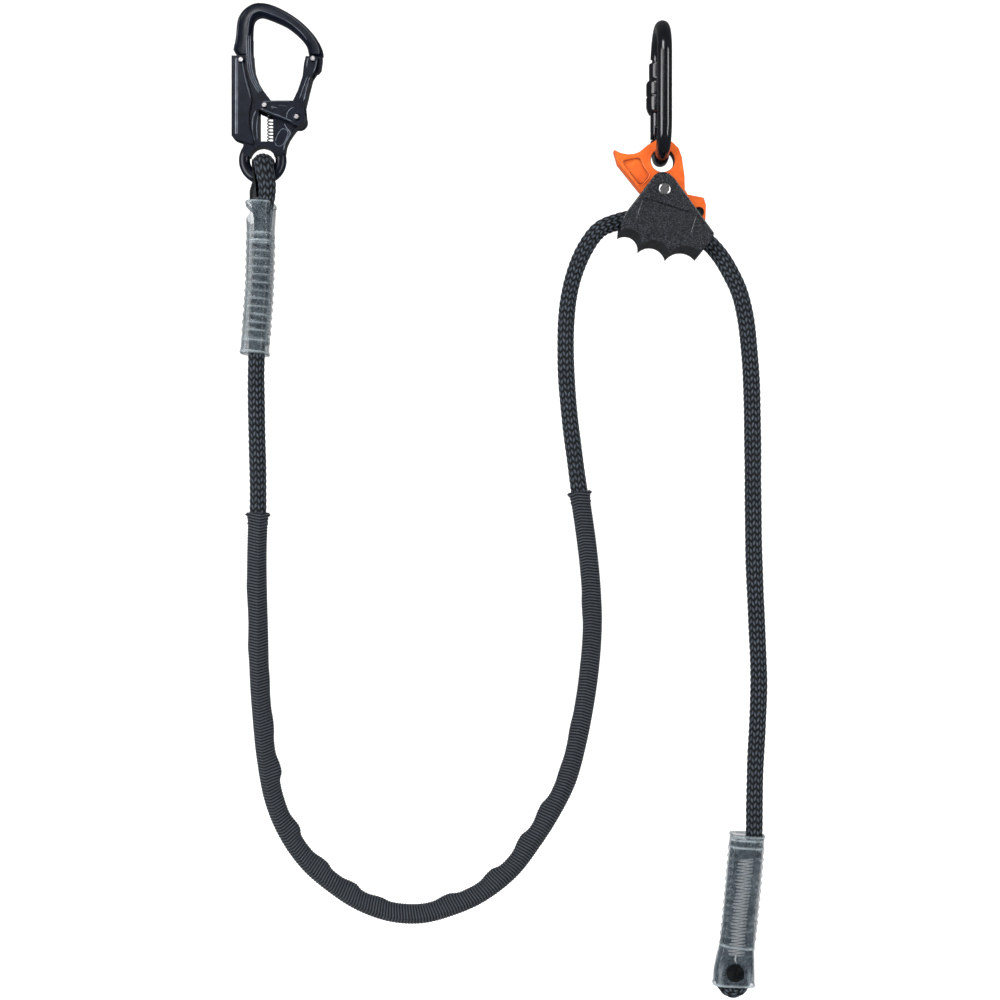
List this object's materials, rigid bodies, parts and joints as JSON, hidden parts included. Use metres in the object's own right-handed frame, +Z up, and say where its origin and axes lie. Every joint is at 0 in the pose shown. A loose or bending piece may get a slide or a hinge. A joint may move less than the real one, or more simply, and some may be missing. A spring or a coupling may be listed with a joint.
{
  "type": "adjustable safety lanyard",
  "caption": "Rope lanyard with a double-action hook, webbing protector, cam rope grab and twist-lock oval carabiner, hanging in a U.",
  "frame": {"origin": "the point of the hook's bow that hangs on a peg, in the middle of its thickness", "axes": "+Z up, +X from the hook towards the rope grab, +Y away from the hook's front face"},
  "size_m": [0.4005, 0.062, 0.7449],
  "materials": {
    "hook_black": "black anodised, glossy",
    "steel": "bright turned steel",
    "spring_steel": "spring wire",
    "rope": "black herringbone braid",
    "thimble_plastic": "moulded black plastic",
    "stitching": "pale grey polyester thread",
    "clear_sleeve": "clear shrunk plastic with ribs",
    "webbing": "black tubular webbing",
    "dark_steel": "blackened steel",
    "housing_black": "fine speckled black powder coat",
    "cam_orange": "orange anodised",
    "brass": "plain",
    "carabiner_black": "black anodised, glossy"
  },
  "bodies": {
    "hook": {"hook_body": "hook_black", "lever_pivot_rivet": "steel", "gate_spring": "spring_steel", "lever_spring": "spring_steel"},
    "palm_lever": {"hook_palm_lever": "hook_black"},
    "hook_gate": {"hook_gate": "hook_black", "gate_pivot_rivet": "steel", "gate_nose_rivet": "steel", "gate_tail_pin": "steel"},
    "rope": {"rope": "rope", "hook_thimble": "thimble_plastic", "hook_end_stitching": "stitching", "hook_end_sleeve": "clear_sleeve", "webbing_protector": "webbing", "end_stitching": "stitching", "end_sleeve": "clear_sleeve", "end_stop_screw": "dark_steel", "end_stop_nut": "steel"},
    "grab": {"grab_housing": "housing_black", "cam_rivet": "steel", "cam_bushes": "brass"},
    "cam": {"cam_lever": "cam_orange", "cam_spring": "spring_steel"},
    "carabiner": {"carabiner_body": "carabiner_black", "carabiner_hinge_pin": "steel"},
    "carabiner_gate": {"carabiner_gate": "carabiner_black", "carabiner_gate_spring": "spring_steel", "carabiner_plunger": "steel"},
    "lock_sleeve": {"carabiner_lock_sleeve": "carabiner_black"}
  },
  "joints": [
    {"name": "hook_gate_swing", "type": "hinge", "parent": "hook", "child": "hook_gate", "pos_m": [0.0272, 0, -0.0768], "axis": [0, -1, 0], "range_deg": [0, 32], "stiffness_Nm_per_rad": 0.15, "springref_deg": -17.19, "deforming": ["gate_spring"]},
    {"name": "palm_lever_squeeze", "type": "hinge", "parent": "hook", "child": "palm_lever", "pos_m": [-0.0146, 0, -0.0335], "axis": [0, -1, 0], "range_deg": [0, 6]},
    {"name": "rope_swing", "type": "hinge", "parent": "hook", "child": "rope", "pos_m": [0.0006, 0, -0.1209], "axis": [1, 0, 0], "range_deg": [-45, 45]},
    {"name": "grab_slide", "type": "hinge", "parent": "rope", "child": "grab", "pos_m": [0.2875, 0, -0.219], "axis": [0, 1, 0], "range_deg": [-5, 6]},
    {"name": "cam_tilt", "type": "hinge", "parent": "grab", "child": "cam", "pos_m": [0.2999, 0, -0.1324], "axis": [0, -1, 0], "range_deg": [0, 20], "stiffness_Nm_per_rad": 0.3, "springref_deg": -11.46},
    {"name": "carabiner_swing", "type": "hinge", "parent": "cam", "child": "carabiner", "pos_m": [0.2999, 0, -0.1082], "axis": [0, 1, 0], "range_deg": [-90, 90]},
    {"name": "carabiner_gate_swing", "type": "hinge", "parent": "carabiner", "child": "carabiner_gate", "pos_m": [0.2992, 0.024, -0.0806], "axis": [1, 0, 0], "range_deg": [0, 30], "stiffness_Nm_per_rad": 0.1, "springref_deg": -17.19},
    {"name": "lock_sleeve_turn", "type": "hinge", "parent": "carabiner_gate", "child": "lock_sleeve", "pos_m": [0.2992, 0.024, -0.0806], "axis": [0, 0, 1], "range_deg": [0, 90]}
  ],
  "couplings": [
    {"joint": "palm_lever_squeeze", "follows": "hook_gate_swing", "ratio": 0.1875},
    {"joint": "lock_sleeve_turn", "follows": "carabiner_gate_swing", "ratio": 3}
  ]
}
